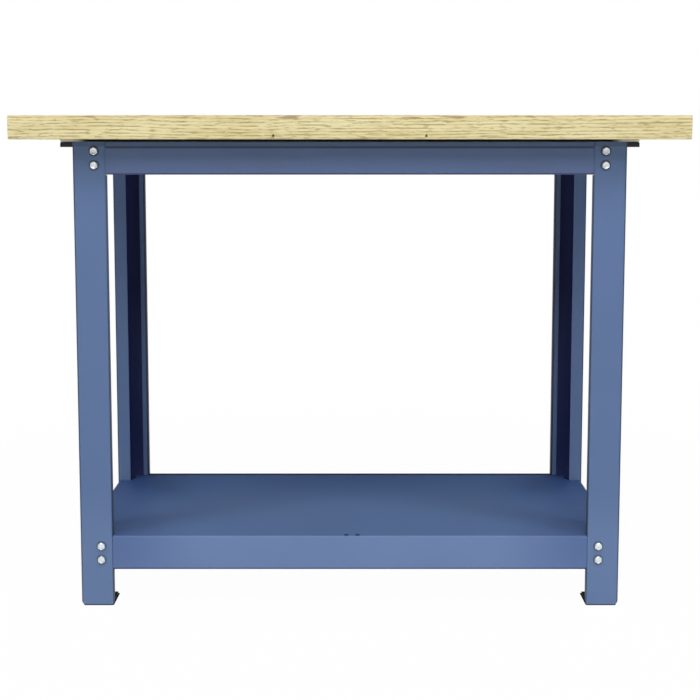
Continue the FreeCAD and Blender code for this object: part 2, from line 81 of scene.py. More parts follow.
# ------------------------------------------------------------------ node trees
class Nodes:
    """A node tree while it is being wired."""

    def __init__(self, tree: bpy.types.NodeTree) -> None:
        """Empties a tree.

        Args:
            tree: the node tree.
        """
        self.tree = tree
        self.tree.nodes.clear()

    def feed(self, socket: Socket, value: object) -> None:
        """Links a socket to another, or sets its value.

        Args:
            socket: the input to fill.
            value: an output socket, a number, a vector or a colour.
        """
        if isinstance(value, Socket):
            self.tree.links.new(value, socket)
        elif socket.type == "RGBA":
            socket.default_value = (*value, 1.0)
        else:
            socket.default_value = value

    def add(self, kind: str, *values: object, **settings: object) -> bpy.types.Node:
        """Adds a node.

        Args:
            kind: its type, without the word ShaderNode.
            values: what its first inputs get, in order.
            settings: its settings by name.

        Returns:
            The node.
        """
        node = self.tree.nodes.new("ShaderNode" + kind)
        for name, value in settings.items():
            setattr(node, name, value)
        for socket, value in zip(node.inputs, values):
            self.feed(socket, value)
        return node

    def fill(self, node: bpy.types.Node, **inputs: object) -> None:
        """Fills a node's inputs.

        Args:
            node: the node.
            inputs: values by input name, with _ for a space.
        """
        for name, value in inputs.items():
            self.feed(node.inputs[name.replace("_", " ")], value)

    def math(self, operation: str, *values: object) -> Socket:
        """One Math node.

        Args:
            operation: the node's operation.
            values: its inputs, in order.

        Returns:
            The result's socket.
        """
        return self.add("Math", *values, operation=operation).outputs[0]

    def split(self, vector: Socket) -> tuple[Socket, ...]:
        """X, Y and Z of a vector.

        Args:
            vector: the vector's socket.

        Returns:
            Three sockets.
        """
        return tuple(self.add("SeparateXYZ", vector).outputs)

    def join(self, x: object, y: object, z: object) -> Socket:
        """A vector from three values.

        Args:
            x: first value.
            y: second value.
            z: third value.

        Returns:
            The vector's socket.
        """
        return self.add("CombineXYZ", x, y, z).outputs[0]

    def noise(self, vector: Socket, scale: float, detail: float = 2.0,
              roughness: float = 0.5) -> Socket:
        """Soft noise between 0 and 1.

        Args:
            vector: where the noise is read.
            scale: cells per unit.
            detail: octaves.
            roughness: weight of the finer octaves.

        Returns:
            The noise value's socket.
        """
        node = self.add("TexNoise", vector)
        self.fill(node, Scale=scale, Detail=detail, Roughness=roughness)
        return node.outputs[0]

    def ramp(self, value: Socket, stops: Stops) -> Socket:
        """A colour ramp.

        Args:
            value: where on the ramp, from 0 to 1.
            stops: place and colour of each stop.

        Returns:
            The colour's socket.
        """
        node = self.add("ValToRGB", value)
        elements = node.color_ramp.elements
        while len(elements) < len(stops):
            elements.new(0.5)
        for element, (place, colour) in zip(elements, stops):
            element.position = place
            element.color = (*colour, 1.0)
        return node.outputs[0]

    def range(self, value: Socket, low: float, high: float, to_low: float, to_high: float) -> Socket:
        """A value moved from one range to another, and kept inside it.

        Args:
            value: what is moved.
            low: start of the old range.
            high: end of the old range.
            to_low: start of the new range.
            to_high: end of the new range.

        Returns:
            The moved value's socket.
        """
        inputs = (value, low, high, to_low, to_high)
        return self.add("MapRange", *inputs, interpolation_type="SMOOTHSTEP").outputs[0]

    def distance(self, vector: object, point: object) -> Socket:
        """Distance of a place from a point.

        Args:
            vector: the place's socket.
            point: the point or its socket.

        Returns:
            The distance's socket.
        """
        return self.add("VectorMath", vector, point, operation="DISTANCE").outputs["Value"]

    def mix(self, share: object, first: object, second: object, blend: str = "MIX") -> Socket:
        """Two colours mixed.

        Args:
            share: how much of the second colour, from 0 to 1.
            first: a colour or its socket.
            second: a colour or its socket.
            blend: how they mix.

        Returns:
            The colour's socket.
        """
        node = self.add("Mix", share, data_type="RGBA", blend_type=blend)
        self.feed(node.inputs[6], first)
        self.feed(node.inputs[7], second)
        return node.outputs[2]


class Graph(Nodes):
    """A material's nodes round one shader."""

    def __init__(self, name: str) -> None:
        """Starts an empty material.

        Args:
            name: the material's name.
        """
        self.material = bpy.data.materials.new(name)
        self.material.use_nodes = True
        super().__init__(self.material.node_tree)
        self.shader = self.add("BsdfPrincipled")
        self.output = self.add("OutputMaterial", self.shader.outputs["BSDF"])
        self.place = self.add("TexCoord").outputs["Object"]

    def folded(self, across: bool, along: bool) -> tuple[Socket, ...]:
        """The place, alike on both sides of the table's middle.

        Args:
            across: whether left and right are alike.
            along: whether front and rear are alike.

        Returns:
            The sockets of x, y and z.
        """
        x, y, z = self.split(self.place)
        return (self.math("ABSOLUTE", x) if across else x, self.math("ABSOLUTE", y) if along else y, z)

    def grain(self, cells: Triple, shift: object, detail: float = 2.0, roughness: float = 0.5) -> Socket:
        """Noise that is stretched along the axes.

        Args:
            cells: cells per metre along each axis.
            shift: where the noise starts.
            detail: octaves.
            roughness: weight of the finer octaves.

        Returns:
            The noise value's socket.
        """
        unturned = (0.0, 0.0, 0.0)
        mapped = self.add("Mapping", self.place, shift, unturned, cells).outputs[0]
        return self.noise(mapped, 1.0, detail, roughness)

    def bump(self, height: Socket, strength: float, depth: float) -> None:
        """Raises the surface by a height, through the shader's normal.

        Args:
            height: height from 0 to 1.
            strength: how strongly it shows.
            depth: height of 1, in metres.
        """
        node = self.add("Bump")
        self.fill(node, Height=height, Strength=strength, Distance=depth)
        self.fill(self.shader, Normal=node.outputs[0])

    def finish(self, **inputs: object) -> Material:
        """Fills the shader's inputs.

        Args:
            inputs: values by input name, with _ for a space.

        Returns:
            The finished material.
        """
        self.fill(self.shader, **inputs)
        return self.material


# -------------------------------------------------------------------- finishes
@dataclass(frozen=True)
class Shade:
    """A box in which painted shade or painted light darkens or lightens a coat, if wanted alike left and
    right, and front and rear.
    """

    tone: Colour
    low: Triple
    high: Triple
    soft: float = 0.1 * MM
    alike: tuple[bool, bool] = (True, True)

    def share(self, graph: Graph) -> Socket:
        """Where the box is.

        Args:
            graph: the material's nodes.

        Returns:
            One inside the box, and zero beyond its soft border.
        """
        share = 1.0
        for value, start, end in zip(graph.folded(*self.alike), self.low, self.high):
            off = graph.math("ABSOLUTE", graph.math("SUBTRACT", value, (start + end) / 2))
            half = (end - start) / 2
            share = graph.math("MULTIPLY", share, graph.range(off, half, half + self.soft, 1.0, 0.0))
        return share


@dataclass(frozen=True)
class Ring:
    """A painted shadow ring round a fastener's head, alike left and right, front and rear."""

    tone: Colour
    centre: Triple
    radius: float = 8.4 * MM
    soft: float = 2.2 * MM

    def share(self, graph: Graph) -> Socket:
        """Where the ring is.

        Args:
            graph: the material's nodes.

        Returns:
            One at the head, and zero beyond the ring.
        """
        away = graph.distance(graph.join(*graph.folded(True, True)), self.centre)
        return graph.range(away, self.radius, self.radius + self.soft, 1.0, 0.0)


@dataclass(frozen=True)
class PowderCoat:
    """Baked powder paint with a faint orange peel, with painted shade and painted light where its shades say.
    """

    name: str
    colour: Colour
    roughness: float = 0.60
    cloud: float = 0.05
    gloss: float = 0.5
    shades: tuple[Shade | Ring, ...] = ()

    def material(self) -> Material:
        """Builds the paint.

        Returns:
            The material.
        """
        graph = Graph(self.name)
        dark = tuple(part * (1 - self.cloud) for part in self.colour)
        light = tuple(part * (1 + self.cloud) for part in self.colour)
        cloud = graph.noise(graph.place, 5.0, 3.0)
        speck = graph.noise(graph.place, 900.0, 1.0)
        tone = graph.math("ADD", graph.math("MULTIPLY", cloud, 0.7), graph.math("MULTIPLY", speck, 0.3))
        colour = graph.ramp(tone, [(0.3, dark), (0.7, light)])
        # the shades multiply painted shade and painted light into the paint's colour
        for shade in self.shades:
            colour = graph.mix(shade.share(graph), colour, shade.tone, "MULTIPLY")
        peel = graph.noise(graph.place, 520.0, 2.0, 0.4)
        roughness = graph.range(cloud, 0.25, 0.75, self.roughness - 0.03, self.roughness + 0.03)
        graph.bump(peel, 0.35, 0.06 * MM)
        return graph.finish(Base_Color=colour, Roughness=roughness, Specular_IOR_Level=self.gloss)


@dataclass(frozen=True)
class OiledWood:
    """Light hardwood glued up from long staves, with rings, fibres, flecks and short dark streaks."""

    stave: float
    half_depth: float
    middle_height: float
    top: float
    ring: float = 5.6 * MM
    seam: float = 0.35 * MM
    spots_end: float = 9.0 * MM
    spots_full: float = 5.0 * MM
    least_tone: float = 0.965
    tone_spread: float = 0.08
    body: Stops = ((0.3, (0.75, 0.64, 0.31)), (0.5, (0.84, 0.74, 0.405)), (0.7, (0.90, 0.81, 0.47)))
    late_wood: Colour = (0.40, 0.315, 0.125)
    dark_streak: Colour = (0.42, 0.335, 0.15)
    pale_streak: Colour = (0.90, 0.83, 0.56)
    dark_fleck: Colour = (0.43, 0.33, 0.13)
    pale_fleck: Colour = (0.93, 0.85, 0.55)
    top_spot: Colour = (0.42, 0.27, 0.15)
    fibre_line: Colour = (0.45, 0.36, 0.17)
    glue: Colour = (0.20, 0.14, 0.07)

    def rings(self, graph: Graph, chance: Sequence[Socket], across: Socket) -> Socket:
        """Growth rings round a heart that lies below each stave.

        Args:
            graph: the material's nodes.
            chance: random values of the stave.
            across: distance from the stave's middle, to the back.

        Returns:
            The place within a ring, from 0 to 1.
        """
        height = graph.split(graph.place)[2]
        side = graph.math("MULTIPLY_ADD", chance[0], 0.05, -0.025)
        depth = graph.math("MULTIPLY_ADD", chance[1], -0.05, self.middle_height - 0.055)
        reach = graph.distance(graph.join(0.0, across, height), graph.join(0.0, side, depth))
        offset = graph.join(graph.math("MULTIPLY", chance[2], 9.0), chance[1], chance[0])
        slow = graph.grain((2.2, 9.0, 9.0), offset)
        quick = graph.grain((11.0, 60.0, 60.0), offset)
        warp = graph.math("ADD", graph.math("MULTIPLY", slow, 0.022), graph.math("MULTIPLY", quick, 0.0035))
        return graph.math("FRACT", graph.math("DIVIDE", graph.math("ADD", reach, warp), self.ring))

    def material(self) -> Material:
        """Builds the wood.

        Returns:
            The material.
        """
        graph = Graph("oiled_hardwood")
        _, y, z = graph.split(graph.place)
        row = graph.math("FLOOR", graph.math("DIVIDE", y, self.stave))
        chance = graph.split(graph.add("TexWhiteNoise", graph.join(row, 3.0, 5.0)).outputs["Color"])
        middle = graph.math("MULTIPLY", graph.math("ADD", row, 0.5), self.stave)
        across = graph.math("SUBTRACT", y, middle)
        offset = graph.join(graph.math("MULTIPLY", chance[0], 5.0), chance[1], chance[2])
        streak = graph.grain((11.0, 170.0, 260.0), offset, 3.0, 0.62)
        patch = graph.grain((5.0, 26.0, 60.0), offset)
        fibre = graph.grain((45.0, 1100.0, 1100.0), offset)
        dash = graph.grain((27.0, 80.0, 170.0), offset)
        fleck = graph.grain((52.0, 420.0, 420.0), offset)
        spot = graph.grain((15.0, 60.0, 140.0), (3.0, 7.0, 1.0))
        ring = self.rings(graph, chance, across)
        rise, fall = graph.range(ring, 0.50, 0.76, 0.0, 1.0), graph.range(ring, 0.84, 1.0, 1.0, 0.0)
        broken = graph.range(dash, 0.40, 0.62, 0.15, 1.0)
        late = graph.math("MULTIPLY", graph.math("MULTIPLY", rise, fall), broken)
        colour = graph.mix(graph.math("MULTIPLY", late, 0.95), graph.ramp(patch, self.body), self.late_wood)
        for value, none, full, most, tone in (
                (streak, 0.60, 0.72, 0.8, self.dark_streak), (fleck, 0.56, 0.68, 0.75, self.dark_fleck),
                (fleck, 0.42, 0.30, 0.6, self.pale_fleck), (streak, 0.40, 0.26, 0.7, self.pale_streak)):
            colour = graph.mix(graph.range(value, none, full, 0.0, most), colour, tone)
        near_top = graph.range(z, self.top - self.spots_end, self.top - self.spots_full, 0.0, 0.85)
        spots = graph.math("MULTIPLY", graph.range(spot, 0.58, 0.66, 0.0, 1.0), near_top)
        colour = graph.mix(spots, colour, self.top_spot)
        colour = graph.mix(graph.range(fibre, 0.35, 0.75, 0.0, 0.12), colour, self.fibre_line)
        tone = graph.math("MULTIPLY_ADD", chance[2], self.tone_spread, self.least_tone)
        colour = graph.mix(1.0, colour, graph.join(tone, tone, tone), "MULTIPLY")
        edge = graph.math("SUBTRACT", self.stave / 2, graph.math("ABSOLUTE", across))
        inner = graph.math("LESS_THAN", graph.math("ABSOLUTE", y), self.half_depth - self.stave / 2)
        seam = graph.math("MULTIPLY", graph.range(edge, 0.0, self.seam, 0.5, 0.0), inner)
        colour = graph.mix(seam, colour, self.glue)
        relief = graph.math("SUBTRACT", graph.math("MULTIPLY", fibre, 0.4), graph.math("MULTIPLY", late, 0.6))
        graph.bump(relief, 0.25, 0.12 * MM)
        roughness = graph.range(streak, 0.3, 0.7, 0.52, 0.62)
        return graph.finish(Base_Color=colour, Roughness=roughness, Specular_IOR_Level=0.35)


@dataclass(frozen=True)
class Surface:
    """Plastic, rubber, cut wood or plating, with soft clouds over a fine even grain."""

    name: str
    dark: Colour
    light: Colour
    roughness: tuple[float, float]
    grain_scale: float
    grain_strength: float
    grain_depth: float
    clouds: Triple = (40.0, 3.0, 0.5)
    light_from: float = 0.7
    gloss: float = 0.2
    metallic: float = 0.0

    def material(self) -> Material:
        """Builds the surface.

        Returns:
            The material.
        """
        graph = Graph(self.name)
        cloud = graph.noise(graph.place, *self.clouds)
        grain = graph.noise(graph.place, self.grain_scale, 2.0)
        colour = graph.ramp(cloud, [(0.3, self.dark), (self.light_from, self.light)])
        roughness = graph.range(cloud, 0.3, 0.7, *self.roughness)
        graph.bump(grain, self.grain_strength, self.grain_depth)
        return graph.finish(Base_Color=colour, Roughness=roughness, Specular_IOR_Level=self.gloss,
                            Metallic=self.metallic)


# ------------------------------------------------------------------- modelling
def deselect() -> None:
    """Leaves nothing selected."""
    bpy.ops.object.select_all(action="DESELECT")


def activate(obj: Object) -> None:
    """Makes an object the only selected one, and the active one.

    Args:
        obj: the object.
    """
    deselect()
    obj.select_set(True)
    bpy.context.view_layer.objects.active = obj


def named(name: str) -> Object:
    """Names the object that an operator has just made, and moves its place and size into its mesh.

    Args:
        name: the new name of the object and its mesh.

    Returns:
        The object.
    """
    obj = bpy.context.object
    obj.name = name
    obj.data.name = name
    bpy.ops.object.transform_apply(location=True, rotation=True, scale=True)
    return obj


def add_block(name: str, low: Vector, high: Vector) -> Object:
    """Adds a block between two corners.

    Args:
        name: the object's name.
        low: its lowest corner.
        high: its highest corner.

    Returns:
        The object, with its place in its mesh.
    """
    deselect()
    bpy.ops.mesh.primitive_cube_add(size=1.0, location=(low + high) / 2, scale=high - low)
    return named(name)


def add_prism(name: str, sides: int, radius: float, height: float,
              top_radius: float | None = None) -> Object:
    """Adds a prism, cylinder or cone that stands on the origin.

    Args:
        name: the object's name.
        sides: corners of its outline.
        radius: reach of its foot.
        height: its height along Z.
        top_radius: reach of its top, if not the foot's.

    Returns:
        The object, with its place in its mesh.
    """
    deselect()
    middle = (0.0, 0.0, height / 2)
    if top_radius is None:
        bpy.ops.mesh.primitive_cylinder_add(vertices=sides, radius=radius, depth=height, location=middle)
    else:
        bpy.ops.mesh.primitive_cone_add(vertices=sides, radius1=radius, radius2=top_radius, depth=height,
                                        location=middle)
    return named(name)


def shifted(obj: Object, z: float, x: float = 0.0, y: float = 0.0) -> Object:
    """Moves an object's mesh and leaves its origin.

    Args:
        obj: the object.
        z: how far up.
        x: how far to the right.
        y: how far to the back.

    Returns:
        The object.
    """
    obj.data.transform(Matrix.Translation(Vector((x, y, z))))
    return obj


def select_faces(obj: Object, test: Callable[[Vector], bool] = lambda normal: True) -> None:
    """Opens an object in edit mode and selects its faces, or those that pass a test.

    Args:
        obj: the object.
        test: takes a face's normal.
    """
    activate(obj)
    bpy.ops.object.mode_set(mode="EDIT")
    bpy.ops.mesh.select_mode(type="FACE")
    bpy.ops.mesh.select_all(action="DESELECT")
    mesh = bmesh.from_edit_mesh(obj.data)
    for face in mesh.faces:
        face.select_set(test(face.normal))
    mesh.select_flush_mode()
    bmesh.update_edit_mesh(obj.data)


def select_end(obj: Object, way: int) -> None:
    """Opens an object in edit mode and selects an end face.

    Args:
        obj: the object.
        way: 1 for the upper end, or -1 for the lower.
    """
    select_faces(obj, lambda normal: normal.z * way > 0.9)


def step(height: float, ratio: float) -> None:
    """Extrudes the selected end face along Z and scales it.

    Args:
        height: how far it moves.
        ratio: how much wider it gets.
    """
    bpy.ops.mesh.extrude_region_move(TRANSFORM_OT_translate={"value": (0.0, 0.0, height)})
    bpy.ops.transform.resize(value=(ratio, ratio, 1.0), center_override=(0.0, 0.0, 0.0))


def close_edit() -> None:
    """Goes back to object mode."""
    bpy.ops.object.mode_set(mode="OBJECT")


def apply_modifier(obj: Object, kind: str, **settings: object) -> None:
    """Adds a modifier and applies it.

    Args:
        obj: the object.
        kind: the modifier's type.
        settings: its settings by name.
    """
    activate(obj)
    modifier = obj.modifiers.new(kind.title(), kind)
    for name, value in settings.items():
        setattr(modifier, name, value)
    bpy.ops.object.modifier_apply(modifier=modifier.name)


def carve(obj: Object, *tools: Object, operation: str = "DIFFERENCE") -> None:
    """Cuts an object with others, and deletes those.

    Args:
        obj: the object that is cut.
        tools: closed meshes.
        operation: DIFFERENCE or INTERSECT.
    """
    for tool in tools:
        apply_modifier(obj, "BOOLEAN", object=tool, operation=operation, solver="EXACT")
        bpy.data.objects.remove(tool)


def soften(obj: Object, width: float, segments: int = 2, angle: float = 30.0) -> None:
    """Rounds every sharp edge and shades the rest smoothly.

    Args:
        obj: the object.
        width: width of the rounding.
        segments: faces across it.
        angle: least angle that counts as sharp, in degrees.
    """
    apply_modifier(obj, "BEVEL", width=width, segments=segments, limit_method="ANGLE",
                   angle_limit=math.radians(angle))
    smooth(obj, angle)


def smooth(obj: Object, angle: float = 30.0) -> None:
    """Shades an object smoothly, up to an angle.

    Args:
        obj: the object.
        angle: the angle in degrees.
    """
    activate(obj)
    bpy.ops.object.shade_smooth_by_angle(angle=math.radians(angle))


def weld(name: str, *parts: Object) -> Object:
    """Joins objects into one mesh.

    Args:
        name: the joined object's name.
        parts: the objects.

    Returns:
        The joined object.
    """
    deselect()
    for part in parts:
        part.select_set(True)
    bpy.context.view_layer.objects.active = parts[0]
    bpy.ops.object.join()
    return named(name)


def link(obj: Object) -> Object:
    """Puts a new object into the scene.

    Args:
        obj: the object.

    Returns:
        The object.
    """
    bpy.context.scene.collection.objects.link(obj)
    return obj


def duplicate(source: Object, name: str) -> Object:
    """Copies an object's mesh into an object of its own.

    Args:
        source: the object.
        name: the name of the copy and its mesh.

    Returns:
        The copy, at the origin.
    """
    copy = link(bpy.data.objects.new(name, source.data.copy()))
    copy.data.name = name
    return copy


def solid_boxes(node: str) -> list[tuple[Vector, Vector]]:
    """Box of each separate solid in a CAD node.

    Args:
        node: the node's name.

    Returns:
        Lowest and highest corner of each solid, from left to right, front to back and down to up.
    """
    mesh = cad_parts[node].data
    keys = [tuple(round(part / (0.001 * MM)) for part in vertex.co) for vertex in mesh.vertices]
    parent = {key: key for key in keys}

    def root(key: tuple[int, ...]) -> tuple[int, ...]:
        """Finds the group that a corner belongs to."""
        while parent[key] != key:
            parent[key] = parent[parent[key]]
            key = parent[key]
        return key

    for polygon in mesh.polygons:
        first = root(keys[polygon.vertices[0]])
        for index in polygon.vertices[1:]:
            parent[root(keys[index])] = first
    groups: dict[tuple[int, ...], list[Vector]] = {}
    for key, vertex in zip(keys, mesh.vertices):
        groups.setdefault(root(key), []).append(vertex.co)
    boxes = [(Vector(map(min, zip(*points))), Vector(map(max, zip(*points)))) for points in groups.values()]
    return sorted(boxes, key=lambda box: tuple(round(part, 4) for part in box[0]))


def upright_drills(node: str, sides: int, width: float, low: float, high: float) -> list[Object]:
    """Drills round the middles of a CAD node's solids.

    Args:
        node: the node's name.
        sides: corners of a drill's outline.
        width: a drill's width.
        low: height of its lower end.
        high: height of its upper end.

    Returns:
        The drills.
    """
    middles = [(first + last) / 2 for first, last in solid_boxes(node)]
    return [shifted(add_prism("drill", sides, width / 2, high - low), low, middle.x, middle.y)
            for middle in middles]


def dress(obj: Object, material: Material) -> None:
    """Gives an object one material all over.

    Args:
        obj: the object.
        material: the material.
    """
    if not obj.material_slots:
        obj.data.materials.append(material)
    for place in obj.material_slots:
        place.material = material


def put(piece: Object, slot: Slot, material: Material, *nodes: str) -> None:
    """Paints a finished piece, hangs it under the root body and hides the CAD nodes that it stands for.

    Args:
        piece: the finished piece.
        slot: not used.
        material: its material.
        nodes: the CAD nodes that it stands for.
    """
    dress(piece, material)
    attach(piece, "root")
    if nodes:
        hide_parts(*nodes)
    LOG.info("%s: %d faces", piece.name, len(piece.data.polygons))


# --------------------------------------------------------------------- worktop
@dataclass
class Worktop:
    """Thick board glued up from staves, with broken edges and two small holes in front."""

    wood: Material
    arris: float = 1.5 * MM
    edge_hole: float = 4.5 * MM
    edge_hole_depth: float = 12.0 * MM
    edge_hole_spacing: float = 268.5 * MM
    edge_hole_rise: float = 6.4 * MM
    pilot_hole: float = 5.0 * MM
    pilot_spare: float = 0.3 * MM

    def build(self) -> None:
        """Models the board in place of the plain one."""
        low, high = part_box("worktop")
        board = add_block("worktop_board", low, high)
        select_faces(board)
        bpy.ops.mesh.bevel(offset=self.arris, segments=3, profile=0.6)
        close_edit()
        for side in (-1, 1):
            drill = add_prism("edge_drill", 24, self.edge_hole / 2, self.edge_hole_depth * 2)
            drill.data.transform(Matrix.Rotation(math.radians(-90.0), 4, "X"))
            carve(board, shifted(drill, low.z + self.edge_hole_rise, side * self.edge_hole_spacing / 2,
                                 low.y - self.edge_hole_depth))
        reach = solid_boxes("worktop_screws")[0][1].z - low.z + self.pilot_spare
        carve(board, *upright_drills("worktop_screws", 16, self.pilot_hole, low.z - reach, low.z + reach))
        smooth(board, 40.0)
        put(board, Slot.WOOD, self.wood, "worktop")


# ------------------------------------------------------------------- fasteners
def add_hexagon(name: str, across_flats: float, low: float, high: float, crown: float,
                ends: int) -> Object:
    """Adds a hexagon whose corners are chamfered at 30 degrees.

    Args:
        name: the object's name.
        across_flats: its width.
        low: height of its lower end.
        high: height of its upper end.
        crown: width of the round that is left at an end, as a share of its own.
        ends: 1 to chamfer the upper end, or 2 for both, if the lower one is at zero.

    Returns:
        The object.
    """
    hexagon = shifted(add_prism(name, 6, across_flats / math.sqrt(3), high - low), low)
    narrow = across_flats / 2 * crown
    wide = narrow + high / math.tan(math.radians(30.0))
    for foot, top in ((wide, narrow), (narrow, wide))[:ends]:
        carve(hexagon, add_prism("chamfer_cone", 48, foot, high, top), operation="INTERSECT")
    return hexagon


@dataclass(frozen=True)
class Thread:
    """A threaded shank; each step of a turn is a share of the pitch and a ratio of widths."""

    sides: int
    width: float
    pitch: float
    turn: tuple[tuple[float, float], ...]
    point: float
    tip: float
    crease: float

    def build(self, name: str, length: float) -> Object:
        """Models the shank as a chain of ridges that ends in a point.

        Args:
            name: the object's name.
            length: the shank's length, down from zero.

        Returns:
            The shank.
        """
        shank = add_prism(name, self.sides, self.width / 2, self.pitch / 4)
        select_end(shifted(shank, -self.pitch / 4), -1)
        turns = int((length - self.point) / self.pitch)
        for share, ratio in self.turn * turns:
            step(-self.pitch * share, ratio)
        step(-(length - self.pitch / 4 - turns * self.pitch), self.tip)
        close_edit()
        smooth(shank, self.crease)
        return shank


@dataclass
class HexBolt:
    """M8 bolt with a chamfered head and rolled thread."""

    across_flats: float = 12.5 * MM
    crown: float = 0.90
    head: float = 5.3 * MM
    washer_face: float = 0.4 * MM
    washer_width: float = 11.4 * MM
    dish: float = 0.5 * MM
    shank: float = 8.0 * MM
    length: float = 16.0 * MM
    pitch: float = 1.25 * MM
    root: float = 6.75 * MM

    def build(self) -> Object:
        """Models the bolt at the origin: the shank hangs below zero, and the head stands above it on a
        thin round washer face.

        Returns:
            The bolt.
        """
        head = add_hexagon("m8_head", self.across_flats, self.washer_face, self.head, self.crown, 1)
        select_end(head, 1)
        step(0.0, 0.92)
        step(-self.dish * 0.6, 0.88)
        step(-self.dish * 0.4, 0.7)
        close_edit()
        soften(head, 0.12 * MM, 2, 25.0)
        face = add_prism("m8_washer_face", 48, self.washer_width / 2, self.washer_face)
        ratio = self.root / self.shank
        turn = ((0.42, ratio), (0.12, 1.0), (0.42, 1 / ratio), (0.04, 1.0))
        thread = Thread(32, self.shank, self.pitch, turn, self.pitch, ratio * 0.95, 50.0)
        return weld("m8_bolt", head, face, thread.build("m8_shank", self.length))


@dataclass
class HexNut:
    """Nut with both ends chamfered."""

    across_flats: float
    height: float
    bore: float
    crown: float = 0.96

    def build(self) -> Object:
        """Models the nut at the origin, standing up from zero.

        Returns:
            The nut.
        """
        nut = add_hexagon("nut", self.across_flats, 0.0, self.height, self.crown, 2)
        hole = add_prism("nut_bore", 32, self.bore / 2, self.height * 3)
        carve(nut, shifted(hole, -self.height))
        soften(nut, 0.12 * MM, 2, 25.0)
        return nut


@dataclass
class ButtonBolt:
    """M6 bolt with a low domed head and a hexagon socket."""

    head_width: float = 10.5 * MM
    head: float = 3.3 * MM
    socket: float = 4.0 * MM
    shank: float = 6.0 * MM
    length: float = 12.0 * MM
    point: float = 0.6 * MM
    dome_rings: int = 4
    dome_turn: float = 60.0
    sides: int = 40

    def build(self) -> Object:
        """Models the bolt at the origin: head up, shank down.

        Returns:
            The bolt.
        """
        head = add_prism("m6_head", self.sides, self.head_width / 2, self.head * 0.25)
        select_end(head, 1)
        for ring in range(1, self.dome_rings + 1):
            before = math.cos(math.radians(self.dome_turn * (ring - 1) / self.dome_rings))
            after = math.cos(math.radians(self.dome_turn * ring / self.dome_rings))
            step(self.head * 0.75 / self.dome_rings, after / before)
        close_edit()
        key = add_prism("m6_socket", 6, self.socket / math.sqrt(3), self.head)
        carve(head, shifted(key, self.head * 0.45))
        smooth(head, 35.0)
        straight = self.length - self.point
        shank = add_prism("m6_shank", self.sides, self.shank / 2, straight)
        select_end(shifted(shank, -straight), -1)
        step(-self.point, 0.86)
        close_edit()
        smooth(shank, 35.0)
        return weld("m6_bolt", head, shank)


@dataclass
class WoodScrew:
    """Pan-head screw with a cross recess."""

    head_width: float = 9.6 * MM
    head: float = 2.6 * MM
    shank: float = 4.8 * MM
    root: float = 3.3 * MM
    pitch: float = 2.2 * MM
    point: float = 4.5 * MM
    recess: float = 4.6 * MM
    recess_arm: float = 1.0 * MM

    def build(self, length: float) -> Object:
        """Models the screw at the origin: head up, shank down.

        Args:
            length: length of the shank.

        Returns:
            The screw.
        """
        head = add_prism("screw_head", 40, self.head_width / 2, self.head * 0.35)
        select_end(head, 1)
        for rise, ratio in ((0.30, 0.95), (0.22, 0.86), (0.13, 0.72)):
            step(self.head * rise, ratio)
        close_edit()
        floor = UP * self.head * 0.35
        for x, y in ((self.recess, self.recess_arm), (self.recess_arm, self.recess)):
            corner = Vector((x / 2, y / 2, 0))
            carve(head, add_block("cross_blade", floor - corner, floor + corner + UP * self.head))
        smooth(head, 35.0)
        ratio = self.shank / self.root
        turn = ((0.40, 1.0), (0.28, ratio), (0.04, 1.0), (0.28, 1 / ratio))
        thread = Thread(24, self.root, self.pitch, turn, self.point, 0.08, 45.0)
        return weld("wood_screw", head, thread.build("screw_shank", length))


@dataclass
class Fasteners:
    """Every bolt, nut and screw of the table, each modelled once and copied."""

    zinc: Material

    def build(self) -> None:
        """Places the fasteners where the frame has them."""
        bolt = HexBolt().build()
        nut = HexNut(13.0 * MM, 6.8 * MM, 8.0 * MM).build()
        for group, axis in (("rail", BACK), ("side", RIGHT), ("shelf", BACK)):
            self.scatter(bolt, group + "_bolts", axis, HexBolt.length)
            self.scatter(nut, group + "_nuts", axis)
        button = ButtonBolt().build()
        self.scatter(button, "bearer_bolts", UP, ButtonBolt.length)
        small_nut = HexNut(10.0 * MM, 5.0 * MM, 6.0 * MM).build()
        self.scatter(small_nut, "bearer_nuts", UP)
        low, high = solid_boxes("worktop_screws")[0]
        length = high.z - low.z - WoodScrew.head
        screw = WoodScrew().build(length)
        self.scatter(screw, "worktop_screws", DOWN, length)
        for master in (bolt, nut, button, small_nut, screw):
            bpy.data.objects.remove(master)

    def scatter(self, master: Object, node: str, axis: Vector, length: float | None = None) -> None:
        """Copies a fastener to each solid of a CAD node.

        Args:
            master: the fastener at the origin, pointing up.
            node: the CAD node that the copies stand for.
            axis: where a head points, if it is right of the table's middle and behind it.
            length: length of the shank; a nut has none and stands the other way round.
        """
        for number, (low, high) in enumerate(solid_boxes(node), 1):
            middle = (low + high) / 2
            way = Vector((math.copysign(axis.x, middle.x), math.copysign(axis.y, middle.y), axis.z))
            half = abs((high - low).dot(way)) / 2
            seat = Matrix.Translation(middle + way * (length - half if length else half))
            pose = way if length else -way
            turn = HALF_TURN if pose == DOWN else UP.rotation_difference(pose)
            piece = duplicate(master, f"{node[:-1]}_{number}")
            piece.data.transform(seat @ turn.to_matrix().to_4x4())
            put(piece, Slot.ZINC, self.zinc, node)


# ---------------------------------------- feet, rubber strips and end packings
@dataclass
class FootPlates:
    """Moulded plugs in the four legs, with rounded edges."""

    plastic: Material
    rounding: float = 0.5 * MM

    def build(self) -> None:
        """Rounds a copy of each plain foot plate, once its flat faces are whole."""
        for place in ("front_left", "front_right", "rear_left", "rear_right"):
            node = "foot_plate_" + place
            plug = duplicate(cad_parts[node], "foot_plug_" + place)
            select_faces(plug)
            bpy.ops.mesh.remove_doubles(threshold=0.002 * MM)
            bpy.ops.mesh.dissolve_limited(angle_limit=math.radians(0.5))
            close_edit()
            soften(plug, self.rounding, 3, 40.0)
            put(plug, Slot.PLASTIC, self.plastic, node)


